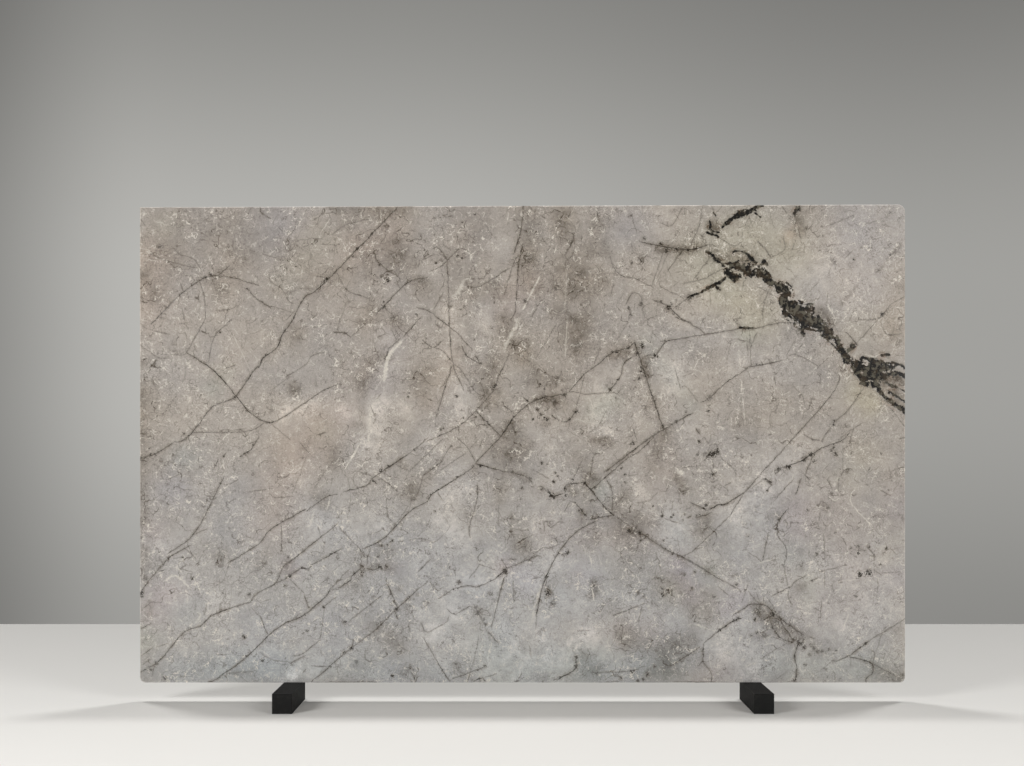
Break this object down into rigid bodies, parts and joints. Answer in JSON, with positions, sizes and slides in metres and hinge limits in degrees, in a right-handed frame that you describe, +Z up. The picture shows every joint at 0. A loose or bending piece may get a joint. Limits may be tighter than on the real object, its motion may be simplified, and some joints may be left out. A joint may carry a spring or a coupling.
{
  "type": "marble slab",
  "caption": "Large polished grey marble slab with dark and pale veins, standing on edge on two black square support blocks.",
  "frame": {"origin": "on the floor, under the centre of the whole object's bounding box", "axes": "+X to the right of a viewer facing the polished face, +Y from the polished face to the sawn back, +Z up"},
  "size_m": [2.9, 0.33, 1.884],
  "materials": {
    "grey_marble": "polished, warm grey with blue-grey clouds, dark hairline veins and one black-green seam",
    "black_rubber": "matt black, cut faces"
  },
  "bodies": {
    "root": {"marble_slab": "grey_marble", "left_block": "black_rubber", "right_block": "black_rubber"}
  },
  "joints": []
}
